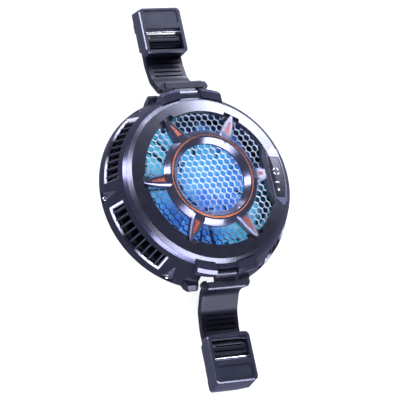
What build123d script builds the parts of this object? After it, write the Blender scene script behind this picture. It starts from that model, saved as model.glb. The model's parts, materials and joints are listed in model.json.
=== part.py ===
from build123d import *
import os
from math import atan2, cos, degrees, hypot, radians, sin, sqrt

# A clip-on phone cooler: a round fan unit with two hinged strap arms.
# Millimetres. Origin at the centre of the cold plate's contact face, +Z to the grille,
# +Y to one arm, +X to the key side.

# Clearances shared by every piece
over = 60.0             # overrun of a cut past the solid that it opens
run_gap = 0.06          # radial clearance of a shaft or a pin that turns
slide_gap = 0.2         # clearance beside a piece that slides
seat_gap = 0.05         # clearance round a piece that is laid into a recess

# Round body, as (radius, height) corners of its outside
rim_r = 30.8            # the widest; the other radii follow it
foot_in = 0.8
foot_r = rim_r - foot_in
foot_z = 0.9
rim_z = 1.8
sill_in = 0.5
sill_r = rim_r - sill_in # foot of the vent wall
sill_z = 5.1
wall_lean = 2.8
lip_r = sill_r - wall_lean # top of the vent wall
lip_z = 12.7
band_wide = 1.0
band_r = lip_r - band_wide # top edge of the trim band
band_z = 13.9
shoulder_wide = 1.2
face_r = band_r - shoulder_wide # outer edge of the bezel's face
face_z = 15.0
face_wide = 3.9
mouth_r = face_r - face_wide # opening of the bezel
mouth_z = 16.2
wall = 1.6

# Vent windows and louvres
window_angles = (33, 150, 210, 327)
window_span = 44
window_top_z = 10.9
window_bevel = 0.75     # bevel round the foot and the sides of a window
louvre_frame = 0.8      # thickness of the frame behind the wall
louvre_edge = 0.5       # its overlap with the wall round the window
louvre_count = 9
louvre_pitch = 4.8
louvre_thick = 0.5
louvre_sunk = 0.5       # how far the fins stay behind the wall's face

# Solid panels of the wall, with scoops and screws
scoop_angles = (60, 120, 180, 240, 300)
boss_span = 10
boss_depth = 3.0
scoop_out = 0.3
scoop_foot_r = sill_r + scoop_out
scoop_r = 1.8
scoop_tip_r = 0.15
scoop_z = 2.5
scoop_top_z = 8.9
screw_head_r = 0.8
screw_head_h = 0.55
screw_shank_r = 0.4
screw_socket_r = 0.3
screw_length = 1.0

# Base, cold plate and the thermoelectric stack
rim_land = 0.8
base_r = foot_r - rim_land
base_h = 1.2
base_wide = 8.7
plate_r = base_r - base_wide
flange_out = 2.0
plate_flange_r = plate_r + flange_out
plate_flange_h = 0.8
pad_space = 0.7
pad_in_r = plate_r + pad_space
pad_wide = 3.4
pad_out_r = pad_in_r + pad_wide
pad_set_back = 0.2      # the pad's face lies this far behind the cold plate's
tec_share = 4 / 3
tec_side = plate_flange_r * tec_share
tec_h = 3.2
tec_skin = 0.7
tec_pellet_inset = 0.8
sink_in = 1.0
sink_r = plate_flange_r - sink_in
sink_base_h = 1.2
sink_fin_h = 2.3
sink_fin_count = 28
sink_fin_thick = 0.5
sink_fin_in_r = 8.4
fin_in = 0.3
sink_fin_out_r = sink_r - fin_in

# Motor
motor_base_r = 7.4
motor_base_h = 0.8
motor_board_r = 6.6
motor_board_h = 0.5
sleeve_r = 1.6
sleeve_h = 4.3
bush_r = 1.1
bush_h = 3.7
shaft_r = 0.5
shaft_h = 3.9
stator_r = 5.7
stator_hub_r = 2.5
stator_h = 2.2
stator_lift = 0.9
stator_poles = 6
pole_width = 1.1
pole_shoe = 0.6
pole_shoe_width = 3.6
coil_wall = 0.55
coil_end_gap = 0.3
magnet_in_r = 6.1
magnet_out_r = 6.9
magnet_h = 2.0
yoke_out_r = 7.6
hub_r = 8.6
hub_top_h = 0.6
hub_edge = 0.5
rotor_h = 3.1
rotor_lift = 0.35       # above the heatsink's fins
blade_count = 9
blade_in = 2.0
blade_tip_r = mouth_r - blade_in
blade_thick = 0.5
blade_root_chord = 4.6
blade_tip_chord = 7.0
blade_root_pitch = 34
blade_tip_pitch = 20
blade_edge_gap = 0.12

# Light ring and grille
shelf_out = 2.6
shelf_in_r = mouth_r + shelf_out
shelf_h = 0.6
board_in = 0.8
led_board_in_r = mouth_r - board_in
board_wide = 4.3
led_board_out_r = led_board_in_r + board_wide
led_board_h = 0.8
led_count = 10
led_width = 2.4
led_depth = 1.0
led_h = 0.7
guide_wide = 2.6
guide_out_r = led_board_in_r + guide_wide
guide_h = 1.0
mesh_h = 0.6
mesh_out = 3.1
mesh_r = mouth_r + mesh_out
hole_out = 0.5
mesh_hole_r = mouth_r + hole_out # holes have their centres inside this
mesh_pitch = 2.1
mesh_wire = 0.27
skirt_step = 3.6
skirt_in_r = mouth_r + skirt_step
skirt_thick = 0.6
skirt_out_r = skirt_in_r + skirt_thick
skirt_drop = 1.5

# Centre ring and spokes
ring_space = 6.1        # between the ring and the bezel's mouth
ring_out_r = mouth_r - ring_space
ring_slope = 1.5
ring_face_out_r = ring_out_r - ring_slope
ring_face_wide = 1.35
ring_face_in_r = ring_face_out_r - ring_face_wide
ring_inner_slope = 1.45
ring_in_r = ring_face_in_r - ring_inner_slope
ring_foot_step = 0.5
ring_foot_in_r = ring_in_r + ring_foot_step
ring_foot_back = 0.6
ring_foot_out_r = ring_out_r - ring_foot_back
accent_inset = 0.3
accent_in_r = ring_face_in_r + accent_inset
accent_wide = 0.6
accent_out_r = accent_in_r + accent_wide
spoke_sunk = 0.4        # how far a spoke starts inside the ring
spoke_root_r = ring_face_out_r - spoke_sunk
spoke_shoulder = 0.3
spoke_low_r = ring_out_r - spoke_shoulder
spoke_neck = 0.4
spoke_high_r = mouth_r - spoke_neck
spoke_reach = 0.9       # how far a tip stands past the mouth
spoke_tip_r = mouth_r + spoke_reach
spoke_stations_r = (spoke_root_r, spoke_low_r, (spoke_low_r + spoke_high_r) / 2, spoke_high_r,
                    spoke_tip_r)
ring_z = 17.1
ring_edge_z = 15.6
ring_foot_z = 14.75
accent_depth = 0.3
spoke_angles = (60, 120, 180, 240, 300)
spoke_half_widths = (2.2, 2.0, 1.55, 0.75, 0.3)
spoke_bevel_share = 0.28
spoke_tip_z = 15.95
key_spoke_half = 1.5
inlay_start = 0.4
inlay_start_r = ring_out_r + inlay_start
inlay_end = 1.6
inlay_end_r = mouth_r - inlay_end
inlay_half_share = 0.36
inlay_depth = 0.25

# Pockets of the bezel that take the spokes' tips
pocket_deep = 1.25
pocket_out_r = mouth_r + pocket_deep
pocket_in_half = 8.2
pocket_out_half = 6.5
pocket_floor_z = 15.2
ramp_start = 2.9
ramp_end = 6.0
ramp_wide = 1.2
ramp_r = mouth_r - ramp_wide
ramp_z = 15.7

# Button lobe on the bezel, its arrow-shaped panel and its key
lobe_deep = 3.2
lobe_x = mouth_r - lobe_deep
lobe_half = 5.75
key_spoke_end = 0.8
key_spoke_end_r = lobe_x - key_spoke_end
key_spoke_foot = 0.15
key_spoke_foot_r = lobe_x - key_spoke_foot
inlay_key_end = 0.4
inlay_end_key_r = key_spoke_end_r - inlay_key_end
lobe_corner_step = 1.1
lobe_corner_x = lobe_x + lobe_corner_step
lobe_corner_half = 9.2
panel_inset = 1.5
panel_waist_x = lobe_x + panel_inset
panel_waist_half = 7.1
panel_point_step = 2.9
panel_point_x = panel_waist_x + panel_point_step
panel_point_half = 9.7
panel_ear_step = 1.7
panel_ear_x = panel_point_x + panel_ear_step
panel_ear_half = 8.2
panel_shift_y = -0.4
panel_edge = 0.3
panel_out_r = face_r - panel_edge
panel_span = 70         # degrees of ring that hold the whole lobe
panel_depth = 0.6
panel_proud = 0.12
key_inset = 0.5
key_x = panel_waist_x + key_inset
key_edge = 0.4
key_out_r = panel_out_r - key_edge
key_top_y = 5.2
key_low_y = -7.6
key_waist_y = 2.0
key_waist_deep = 0.25
key_waist_x = key_x - key_waist_deep
key_sunk = 0.05
key_gap = 0.12
key_h = 1.0
key_travel = 0.35
flange_h = 0.35
flange_wide = 0.35
mark_inset = 1.9
mark_x = key_x + mark_inset
mark_y = 0.6
mark_r = 1.25
mark_line = 0.42
mark_depth = 0.12
mark_gap = 0.8
mark_bar_y = -2.9
mark_dot_y = -5.3
mark_bar_length = 1.5
mark_dot_r = 0.42
plunger_r = 0.75
switch_side = 3.4
switch_h = 0.75
board_h = 0.45
board_under = 0.3
board_in_x = key_x - board_under
board_half = 8.6
lobe_shell = 0.55
lobe_gap_x = lobe_x + lobe_shell # the grille and the light ring stop here below the lobe
lobe_gap_half = 9.3

# Power inlet at the key side
inlet_width = 8.9
inlet_h = 3.2
inlet_z = 7.9
inlet_depth = 6.4
inlet_set_back = 0.3
inlet_wall = 0.32
inlet_tongue_h = 0.7
inlet_tongue_width = 6.6
inlet_tongue_back = 1.0

# Lugs that carry the arms
ear_in = 0.3
ear_r = sill_r - ear_in
ear_in_x = 3.6
ear_out_x = 9.9
ear_top_z = 14.4
ear_bevel = 1.0
ear_waist_z = 11.2
ear_foot_z = 8.7
ear_foot_step = 1.4
ear_foot_r = ear_r - ear_foot_step
ear_deep = 3.4
ear_root_r = ear_r - ear_deep
pin_in = 1.5
pin_y = ear_r - pin_in
pin_z = 11.4
pin_r = 0.5
pin_half = 7.0
block_in_x = 6.55
block_out_x = 10.8
block_top_z = 5.7
block_low_z = 2.1
block_reach = 1.4
block_y = ear_r + block_reach
block_chamfer = 1.2
nook_half = 6.55
nook_deep = 2.9
nook_y = pin_y - nook_deep
nook_top_z = 8.4
nook_wall = 1.1
bridge_z = 13.1
bridge_in = 2.0
bridge_r = ear_r - bridge_in
swing_gap = 0.25        # between the knuckle and the wall

# Link between the hinge and the strap
knuckle_half = ear_in_x - slide_gap
knuckle_r = 1.35
bar_half = 6.2
link_long = 2.6
bar_in_y = pin_y + link_long
bar_wide = 2.3
bar_out_y = bar_in_y + bar_wide
bar_z = 11.1
bar_low_z = 8.9
bar_facet = 0.8
side_half = 8.0
side_back = 0.6
side_in_y = bar_in_y - side_back
side_bevel = 0.7
side_drop = 0.35

# Strap, as (y, z) places along its middle
strap_half = 6.15
strap_thick = 2.1
strap_inset = 1.0
strap_start_y = bar_in_y + strap_inset
strap_neck_z = 5.6
strap_drop_long = 5.5
strap_bend_y = strap_start_y + strap_drop_long
strap_bend_z = 1.1
strap_bend_long = 5.4
strap_level_y = strap_bend_y + strap_bend_long
strap_level_z = -0.15
strap_flat_long = 7.4
strap_end_y = strap_level_y + strap_flat_long
groove_start = 1.0
groove_y = strap_bend_y + groove_start
groove_pitch = 1.5
groove_count = 4
groove_width = 0.5
groove_depth = 0.35
groove_half = 4.7
groove_side = -1        # which side of the middle line is the outer face
strap_radii = [4.0, 5.0, 8.0]

# Buckle block with its hook
buckle_half = 7.1
buckle_start = 2.4
buckle_in_y = strap_level_y + buckle_start
buckle_long = 15.2
buckle_out_y = buckle_in_y + buckle_long
buckle_z = 5.0
buckle_low_z = 1.3
buckle_corner = 1.5
window_half = 5.9
frame_wide = 1.1
window_in_y = buckle_in_y + frame_wide
window_long = 7.2
window_out_y = window_in_y + window_long
tray_start = 1.6
tray_in_y = window_out_y + tray_start
tray_end = 0.8
tray_out_y = buckle_out_y - tray_end
tray_depth = 0.3
tray_corner = 1.0
panel_low_z = -1.0
skirt_start = 0.9
panel_in_y = window_out_y + skirt_start
buckle_rim = 0.3
cheek_z = -0.4
cheek_chamfer = 0.9
hook_tip_z = -6.9
hook_lip_z = -5.6
hook_out = 0.9
hook_out_y = buckle_out_y + hook_out
hook_lip_long = 4.5
hook_lip_y = hook_out_y - hook_lip_long
hook_thick = 1.7
hook_half = 4.2
hook_neck_z = -0.6
hook_drop = 0.6         # how far the hook leans in toward its tip
hook_pad_thick = 0.5
hook_pad_half = 3.6

# Bars and the fold of strap in the window
bar_wire_r = 0.45
wire_seat = 0.6
wire_half = window_half + wire_seat
inner_wire_y = window_in_y + bar_wire_r
inner_wire_z = 2.6
wire_back = 0.6
outer_wire_y = window_out_y - wire_back
outer_wire_z = 3.6
fold_start = 1.2
fold_in_y = window_in_y + fold_start
fold_end = 1.4
fold_out_y = window_out_y - fold_end
fold_low_z = 2.0
fold_top_z = 4.3
fold_side = 0.3
fold_half = window_half - fold_side
fold_groove_w = 0.45
fold_groove_d = 0.4
groove_share = 0.85

# Heights of the stack, each worked out from what lies under it
base_z = foot_z
base_top = base_z + base_h
flange_z = base_top
plate_top = flange_z + plate_flange_h
tec_top = plate_top + tec_h
sink_top = tec_top + sink_base_h
fin_top = sink_top + sink_fin_h
motor_top = sink_top + motor_base_h
rotor_z = fin_top + rotor_lift
rotor_top = rotor_z + rotor_h
shelf_z = window_top_z + seat_gap
led_board_z = shelf_z + shelf_h
guide_z = led_board_z + led_board_h
mesh_z = guide_z + guide_h
mesh_top = mesh_z + mesh_h
key_slope = (mouth_z - face_z) / (face_r - mouth_r)


# Building blocks

def turned(points, start=0, span=360):
    """Solid turned about Z from its (radius, height) corners."""
    face = Plane.XZ * Polygon(*points, align=None)
    return Rot(0, 0, start) * revolve(face, Axis.Z, span)


def tube(out_r, in_r, low, high):
    """Ring of a plain rectangular section, or a disc where the inner radius is zero."""
    return turned([(in_r, low), (out_r, low), (out_r, high), (in_r, high)])


def sector(in_r, out_r, low, high, middle, span):
    """Piece of a ring, centred on an angle."""
    points = [(in_r, low), (out_r, low), (out_r, high), (in_r, high)]
    return turned(points, middle - span / 2, span)


def prism(points, low, high):
    """Upright prism over an outline in plan."""
    return Pos(0, 0, low) * extrude(Polygon(*points, align=None), high - low)


def profile_x(points, half):
    """Prism along X over an outline given as (y, z)."""
    face = Plane.YZ * Polygon(*points, align=None)
    return extrude(face, half, both=True)


def profile_y(points, low, high):
    """Prism along Y over an outline given as (x, z)."""
    face = Plane.XZ * Polygon(*points, align=None)
    return Pos(0, high, 0) * extrude(face, high - low)


def block(x0, x1, y0, y1, z0, z1):
    """Box between two corners."""
    return Pos((x0 + x1) / 2, (y0 + y1) / 2, (z0 + z1) / 2) * Box(x1 - x0, y1 - y0, z1 - z0)


def pair_x(piece):
    """A piece and its mirror image across the YZ plane."""
    return piece + mirror(piece, Plane.YZ)


def polar(radius, angle):
    """Plan coordinates of a place on a circle."""
    return (radius * cos(radians(angle)), radius * sin(radians(angle)))


def save(name, *solids):
    """Writes one sub-part, as separate solids where it has several."""
    found = [solid for piece in solids for solid in piece.solids()]
    shape = found[0] if len(found) == 1 else Compound(children=found)
    export_step(shape, os.path.join("parts", name + ".step"))


# Round body

def body_outside():
    """Envelope of the round body, which the lugs and blocks are cut to."""
    return turned([
        (0, foot_z), (foot_r, foot_z), (rim_r, rim_z), (sill_r, sill_z), (lip_r, lip_z),
        (band_r, band_z), (face_r, face_z), (0, face_z),
    ])


def wall_r(height):
    """Outer radius of the vent wall at a height."""
    share = (height - sill_z) / (lip_z - sill_z)
    return sill_r + (lip_r - sill_r) * share


def nook_cut(low):
    """Space between the lug blocks into which a strap folds."""
    return block(-nook_half, nook_half, nook_y, nook_y + over, low, nook_top_z)


def screw_place(angle):
    """Where a housing screw stands in its scoop."""
    return polar(scoop_foot_r - screw_head_r - seat_gap, angle)


def scoop(angle):
    """Teardrop recess in the wall: a slender cone along the wall over a flat ledge."""
    low_r = scoop_foot_r
    top_r = wall_r(scoop_top_z) + seat_gap
    tall = scoop_top_z - scoop_z
    lean = degrees(atan2(low_r - top_r, tall))
    length = hypot(low_r - top_r, tall)
    cone = Cone(scoop_r, scoop_tip_r, length, align=(Align.CENTER, Align.CENTER, Align.MIN))
    cone = Pos(low_r, 0, scoop_z) * Rot(0, -lean, 0) * cone
    mouth = Pos(low_r, 0, scoop_z) * Cylinder(scoop_r, scoop_r, align=(Align.CENTER, Align.CENTER, Align.MIN))
    keep_above = block(0, over, -over, over, scoop_z, over)
    return Rot(0, 0, angle) * ((cone + mouth) & keep_above)


def inlet_outline(grow, start_x, end_x):
    """Round-ended slot along X, for the power inlet and its hole."""
    slot = SlotOverall(inlet_width + 2 * grow, inlet_h + 2 * grow)
    return Pos(start_x, 0, inlet_z) * extrude(Plane.YZ * slot, end_x - start_x)


def window_flare(angle):
    """Bevel along the foot and the two sides of a window, wider toward the outside."""
    wide = window_bevel
    foot = turned([
        (wall_r(sill_z) - wide, sill_z + seat_gap), (wall_r(sill_z) + wide, sill_z + seat_gap),
        (wall_r(sill_z) + wide, sill_z - wide),
    ], angle - window_span / 2, window_span)
    lean = degrees(atan2(sill_r - lip_r, lip_z - sill_z))
    tall = (window_top_z - sill_z) / cos(radians(lean))
    wedge = extrude(Polygon((-wide, 0), (wide, 0), (wide, wide), align=None), tall)
    wedge = Pos(wall_r(sill_z), 0, sill_z) * Rot(0, -lean, 0) * wedge
    high = Rot(0, 0, angle + window_span / 2) * wedge
    low = Rot(0, 0, angle - window_span / 2) * mirror(wedge, Plane.XZ)
    return foot + high + low


def rear_housing():
    """Moulded vent wall with its rim, shelf, bosses, scoops, windows and lug blocks."""
    wall_in_low = sill_r - wall
    wall_in_top = lip_r - wall
    shell = turned([
        (base_r + seat_gap, foot_z), (foot_r, foot_z), (rim_r, rim_z), (sill_r, sill_z),
        (lip_r, lip_z), (wall_in_top, lip_z), (wall_in_low, sill_z), (wall_in_low, base_top),
        (base_r + seat_gap, base_top),
    ])
    shelf = tube(wall_r(shelf_z) - wall / 2, shelf_in_r, shelf_z, led_board_z)
    inside = turned([
        (0, base_top), (wall_in_low + wall / 2, base_top), (wall_in_low + wall / 2, sill_z),
        (wall_in_top + wall / 2, lip_z), (0, lip_z),
    ])
    bosses = None
    for angle in scoop_angles + (0,):
        boss = sector(wall_in_low - boss_depth, over, base_top, shelf_z, angle, boss_span)
        bosses = boss if bosses is None else bosses + boss
    nook = block(-nook_half - nook_wall, nook_half + nook_wall, nook_y - nook_wall, over,
                 base_top, shelf_z)
    bosses += nook + mirror(nook, Plane.XZ)
    body = shell + shelf + (bosses & inside) + rear_blocks() + mirror(rear_blocks(), Plane.XZ)
    cut = nook_cut(-over)
    body = body - cut - mirror(cut, Plane.XZ)
    for angle in window_angles:
        body -= sector(shelf_in_r + seat_gap, over, sill_z, window_top_z, angle, window_span)
        body -= window_flare(angle)
    for angle in scoop_angles:
        body -= scoop(angle)
        x, y = screw_place(angle)
        body -= Pos(x, y, scoop_z) * Cylinder(
            screw_shank_r, 2 * screw_length, align=(Align.CENTER, Align.CENTER, Align.CENTER))
    return body - inlet_outline(seat_gap, 0, over)


def rear_blocks():
    """Two faceted blocks below the ears, one each side of the strap's nook."""
    outline = [
        (nook_y, block_low_z), (block_y - block_chamfer, block_low_z),
        (block_y, block_low_z + block_chamfer), (block_y, block_top_z - block_chamfer),
        (block_y - block_chamfer, block_top_z), (nook_y, block_top_z),
    ]
    both = profile_x(outline, block_out_x)
    corner = [
        (block_in_x, nook_y), (block_out_x, nook_y), (block_out_x, block_y - 2 * block_chamfer),
        (block_out_x - block_chamfer, block_y), (block_in_x, block_y),
    ]
    right = both & prism(corner, -over, over)
    inner = tube(sill_r - wall / 2, 0, -over, over)
    return pair_x(right) - inner


def vent_louvres():
    """Four like inserts, each a frame behind the wall with upright fins in the window."""
    low_z = sill_z - louvre_edge
    top_z = window_top_z - seat_gap
    gap = wall + seat_gap
    frame = turned([
        (wall_r(sill_z) - gap - louvre_frame, low_z), (wall_r(sill_z) - gap, low_z),
        (wall_r(sill_z) - gap, sill_z), (wall_r(top_z) - gap, top_z),
        (wall_r(top_z) - gap - louvre_frame, top_z),
    ], -window_span / 2, window_span)
    opening = sector(0, over, sill_z + louvre_edge, top_z - louvre_edge, 0, window_span - 2 * louvre_edge)
    insert = frame - opening
    fin = Plane.XZ * Polygon(
        (wall_r(sill_z) - gap - louvre_frame, sill_z), (wall_r(sill_z) - louvre_sunk, sill_z + seat_gap),
        (wall_r(top_z) - louvre_sunk, top_z), (wall_r(top_z) - gap - louvre_frame, top_z), align=None)
    upright_fin = extrude(fin, louvre_thick / 2, both=True)
    for index in range(louvre_count):
        insert += Rot(0, 0, (index - (louvre_count - 1) / 2) * louvre_pitch) * upright_fin
    return [Rot(0, 0, angle) * insert for angle in window_angles]


def housing_screws():
    """Small socket-head screws that stand in the scoops."""
    screws = []
    for angle in scoop_angles:
        x, y = screw_place(angle)
        up = (Align.CENTER, Align.CENTER, Align.MIN)
        head = Cylinder(screw_head_r, screw_head_h, align=up)
        head = chamfer(head.edges().sort_by(Axis.Z)[-1], screw_head_h / 3)
        shank = Pos(0, 0, -screw_length + seat_gap) * Cylinder(
            screw_shank_r - seat_gap, screw_length, align=up)
        socket = Pos(0, 0, screw_head_h / 2) * Cylinder(screw_socket_r, screw_head_h, align=up)
        screws.append(Pos(x, y, scoop_z) * (head + shank - socket))
    return screws


def trim_band():
    """Bevelled ring between the wall and the bezel."""
    in_r = skirt_out_r + seat_gap
    return turned([(in_r, lip_z), (lip_r, lip_z), (band_r, band_z), (in_r, band_z)])


def mouth_outline():
    """Plan of the bezel's opening: a circle with the button lobe standing into it."""
    lobe = Polygon(
        (lobe_x, -lobe_half), (lobe_corner_x, -lobe_corner_half), (over, -lobe_corner_half),
        (over, lobe_corner_half), (lobe_corner_x, lobe_corner_half), (lobe_x, lobe_half), align=None)
    return Circle(mouth_r) - lobe


def panel_outline(grow):
    """Plan of the arrow-shaped panel, grown or shrunk all round."""
    lower = [
        (panel_waist_x, -panel_waist_half), (panel_point_x, -panel_point_half),
        (panel_ear_x, -panel_ear_half), (panel_out_r, -panel_ear_half / 2),
    ]
    upper = [(x, -y) for x, y in reversed(lower)]
    flat = Pos(0, panel_shift_y) * Polygon(*lower, *upper, align=None)
    return offset(flat, grow, kind=Kind.INTERSECTION) if grow else flat


def key_outline(grow):
    """Plan of the key, whose inner side has a shallow waist and outer side is round."""
    lower_x = sqrt(key_out_r ** 2 - key_low_y ** 2)
    upper_x = sqrt(key_out_r ** 2 - key_top_y ** 2)
    sides = Polyline((lower_x, key_low_y), (key_x, key_low_y), (key_waist_x, key_waist_y),
                     (key_x, key_top_y), (upper_x, key_top_y))
    arc = ThreePointArc((upper_x, key_top_y), (key_out_r, 0), (lower_x, key_low_y))
    flat = make_face(sides + arc)
    return offset(flat, grow, kind=Kind.INTERSECTION) if grow else flat


def face_slab(drop, thick):
    """Layer that follows the bezel's face over the lobe, at a depth below it."""
    top_in = mouth_z - drop
    top_out = top_in - (panel_out_r + wall - mouth_r) * key_slope
    out_r = panel_out_r + wall
    return turned([
        (lobe_x - wall, top_in - thick), (mouth_r, top_in - thick), (out_r, top_out - thick),
        (out_r, top_out), (mouth_r, top_in), (lobe_x - wall, top_in),
    ], -panel_span / 2, panel_span)


def upright(flat, low, high):
    """Prism over a flat outline."""
    return Pos(0, 0, low) * extrude(flat, high - low)


def front_bezel():
    """Moulded front ring with its skirt, lobe, spoke pockets and key hole."""
    bezel = turned([
        (0, mesh_top), (skirt_in_r, mesh_top), (skirt_in_r, band_z - skirt_drop),
        (skirt_out_r, band_z - skirt_drop), (skirt_out_r, band_z), (band_r, band_z),
        (face_r, face_z), (mouth_r, mouth_z), (0, mouth_z),
    ]) - upright(mouth_outline(), 0, over)
    for angle in spoke_angles:
        for side in (-1, 1):
            start = angle + side * (ramp_start + ramp_end) / 2
            bezel += turned([
                (ramp_r, mesh_top), (mouth_r + seat_gap, mesh_top), (mouth_r + seat_gap, ramp_z),
            ], start - (ramp_end - ramp_start) / 2, ramp_end - ramp_start)
        mouth = [polar(ramp_r, -pocket_in_half), polar(pocket_out_r, -pocket_out_half),
                 polar(pocket_out_r, pocket_out_half), polar(ramp_r, pocket_in_half)]
        bezel -= Rot(0, 0, angle) * prism(mouth, pocket_floor_z, over)
    bezel -= face_slab(-wall, wall + panel_depth) & upright(panel_outline(seat_gap), mesh_top, over)
    bezel -= upright(key_outline(key_gap), 0, over)
    flange_top = key_foot_z() + flange_h + seat_gap
    bezel -= upright(key_outline(key_gap + flange_wide), 0, flange_top)
    return bezel


def key_foot_z():
    """Height of the key's lower face at rest."""
    return mouth_z - (key_out_r - mouth_r) * key_slope - key_sunk - key_h


def button_panel():
    """Arrow-shaped trim laid into the lobe, with the key's hole."""
    slab = face_slab(-panel_proud, panel_depth + panel_proud)
    panel = slab & upright(panel_outline(0), mesh_top, over)
    return panel - upright(key_outline(key_gap), 0, over)


def control_key():
    """Key that follows the bezel's face, with a flange that keeps it in."""
    foot = key_foot_z()
    stem = upright(key_outline(0), foot, over)
    flange = upright(key_outline(flange_wide), foot, foot + flange_h)
    return (stem & face_slab(key_sunk, key_h * 2)) + flange


def key_symbol():
    """Plain marks laid into the key: a dashed ring, a bar and a dot."""
    flats = []
    for index in range(4):
        middle = 45 + 90 * index
        arc = turned([
            (mark_r - mark_line, 0), (mark_r, 0), (mark_r, over), (mark_r - mark_line, over),
        ], middle - 90 / 2 + degrees(mark_gap / mark_r) / 2, 90 - degrees(mark_gap / mark_r))
        flats.append(Pos(mark_x, mark_y, 0) * arc)
    flats.append(Pos(mark_x - mark_line, mark_bar_y, 0) * Box(mark_bar_length, mark_line, over))
    flats.append(Pos(mark_x - mark_line, mark_dot_y, 0) * Cylinder(mark_dot_r, over))
    layer = face_slab(key_sunk, mark_depth)
    return [flat & layer for flat in flats]


def switch_place():
    """Plan place of the switch, under the middle of the key."""
    return (mark_x, (key_top_y + key_low_y) / 2)


def control_board():
    """Small board under the lobe, on the light ring's board."""
    outer = tube(skirt_in_r - seat_gap, 0, guide_z, guide_z + board_h)
    return outer & block(board_in_x, over, -board_half, board_half, 0, over)


def tact_switch():
    """Square switch body on the board, with the plunger's bore."""
    x, y = switch_place()
    low = guide_z + board_h
    half = switch_side / 2
    body = block(x - half, x + half, y - half, y + half, low, low + switch_h)
    return body - Pos(x, y, low + switch_h) * Cylinder(plunger_r + run_gap, switch_h)


def switch_plunger():
    """Round plunger between the key and the switch."""
    x, y = switch_place()
    low = guide_z + board_h + switch_h / 2 + key_travel + seat_gap
    return Pos(x, y, 0) * tube(plunger_r, 0, low, key_foot_z())


def lobe_gap():
    """Space under the lobe that the grille, the guide and the lamps leave to the key."""
    return block(lobe_gap_x, over, -lobe_gap_half, lobe_gap_half, guide_z, over)


def led_board():
    """Ring board on the housing's shelf."""
    return tube(led_board_out_r, led_board_in_r, led_board_z, guide_z)


def leds():
    """Side-emitting lamps round the light guide, none of them below the lobe."""
    lamps = []
    near = guide_out_r + seat_gap
    step = (360 - panel_span) / led_count
    for index in range(led_count):
        angle = panel_span / 2 + step * (index + 1 / 2)
        lamp = block(near, near + led_depth, -led_width / 2, led_width / 2, guide_z, guide_z + led_h)
        lamps.append(Rot(0, 0, angle) * lamp)
    return lamps


def light_guide():
    """Clear ring that spreads the light under the grille."""
    return tube(guide_out_r, led_board_in_r, guide_z, mesh_z) - lobe_gap()


def hex_places(out_r, in_r, margin):
    """Centres of the grille's holes, in rows along X, between two radii."""
    rise = mesh_pitch * sqrt(3) / 2
    rows = int(out_r / rise) + 1
    places = []
    for row in range(-rows, rows + 1):
        shift = mesh_pitch / 2 if row % 2 else 0
        for column in range(-rows - 1, rows + 2):
            x = column * mesh_pitch + shift
            y = row * rise
            radius = hypot(x, y)
            below_lobe = x > lobe_gap_x - margin and abs(y) < lobe_gap_half + margin
            if in_r <= radius <= out_r and not below_lobe:
                places.append((x, y))
    return places


def hex_grille():
    """Honeycomb sheet, cut as one holed face; it is plain where the centre ring covers it."""
    hole_r = (mesh_pitch - mesh_wire) / sqrt(3)
    hole = RegularPolygon(hole_r, 6, rotation=90)
    inner = hex_places(ring_foot_in_r, 0, 0)
    outer = hex_places(mesh_hole_r, ring_foot_out_r + mesh_wire, mesh_pitch / 2)
    disc = Circle(mesh_r) - (Pos(lobe_gap_x + over / 2, 0) * Rectangle(over, 2 * lobe_gap_half))
    rim = disc.faces()[0].outer_wire()
    holes = [(Pos(x, y) * hole).faces()[0].outer_wire() for x, y in inner + outer]
    return Pos(0, 0, mesh_z) * extrude(Face(rim, holes), mesh_h)


def spoke_top(radius):
    """Height of a spoke's ridge at a radius."""
    share = (radius - ring_face_out_r) / (spoke_stations_r[-1] - ring_face_out_r)
    return ring_z + (spoke_tip_z - ring_z) * share


def spoke_section(radius, half, top):
    """Trapezium across a spoke: wide at its foot, narrow on top."""
    top_half = half * (1 - spoke_bevel_share)
    shoulder = top - half * spoke_bevel_share
    points = [(-half, mesh_top), (half, mesh_top), (half, shoulder), (top_half, top),
              (-top_half, top), (-half, shoulder)]
    return Pos(radius, 0, 0) * (Plane.YZ * Polygon(*points, align=None))


def spoke():
    """Tapered spoke along X, whose tip stands on the floor of a bezel pocket."""
    stations = zip(spoke_stations_r, spoke_half_widths)
    sections = [spoke_section(radius, half, spoke_top(radius)) for radius, half in stations]
    body = loft(sections, ruled=True)
    return body - tube(over, mouth_r - seat_gap, 0, pocket_floor_z)


def key_spoke():
    """Short spoke that ends in a slope against the button lobe."""
    first = spoke_section(spoke_stations_r[0], spoke_half_widths[0], spoke_top(spoke_stations_r[0]))
    last = spoke_section(key_spoke_foot_r, key_spoke_half, spoke_top(key_spoke_foot_r))
    body = loft([first, last], ruled=True)
    slope = [(key_spoke_end_r, spoke_top(key_spoke_end_r)), (key_spoke_end_r, over), (over, over),
             (over, mesh_top), (key_spoke_foot_r, mesh_top)]
    return body - profile_y(slope, -over, over)


def inlay(end_r, grow):
    """Wedge in the top of a spoke along X, pointing outward, grown for its recess."""
    half = spoke_half_widths[1] * inlay_half_share
    plan = Polygon((inlay_start_r, -half), (end_r, -half / 3), (end_r, half / 3),
                   (inlay_start_r, half), align=None)
    start_top = spoke_top(inlay_start_r)
    end_top = spoke_top(end_r)
    side = [(inlay_start_r - seat_gap, start_top - inlay_depth), (end_r + seat_gap, end_top - inlay_depth),
            (end_r + seat_gap, end_top + grow), (inlay_start_r - seat_gap, start_top + grow)]
    wide = offset(plan, seat_gap / 2, kind=Kind.INTERSECTION) if grow else plan
    return upright(wide, 0, over) & profile_y(side, -over, over)


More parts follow.
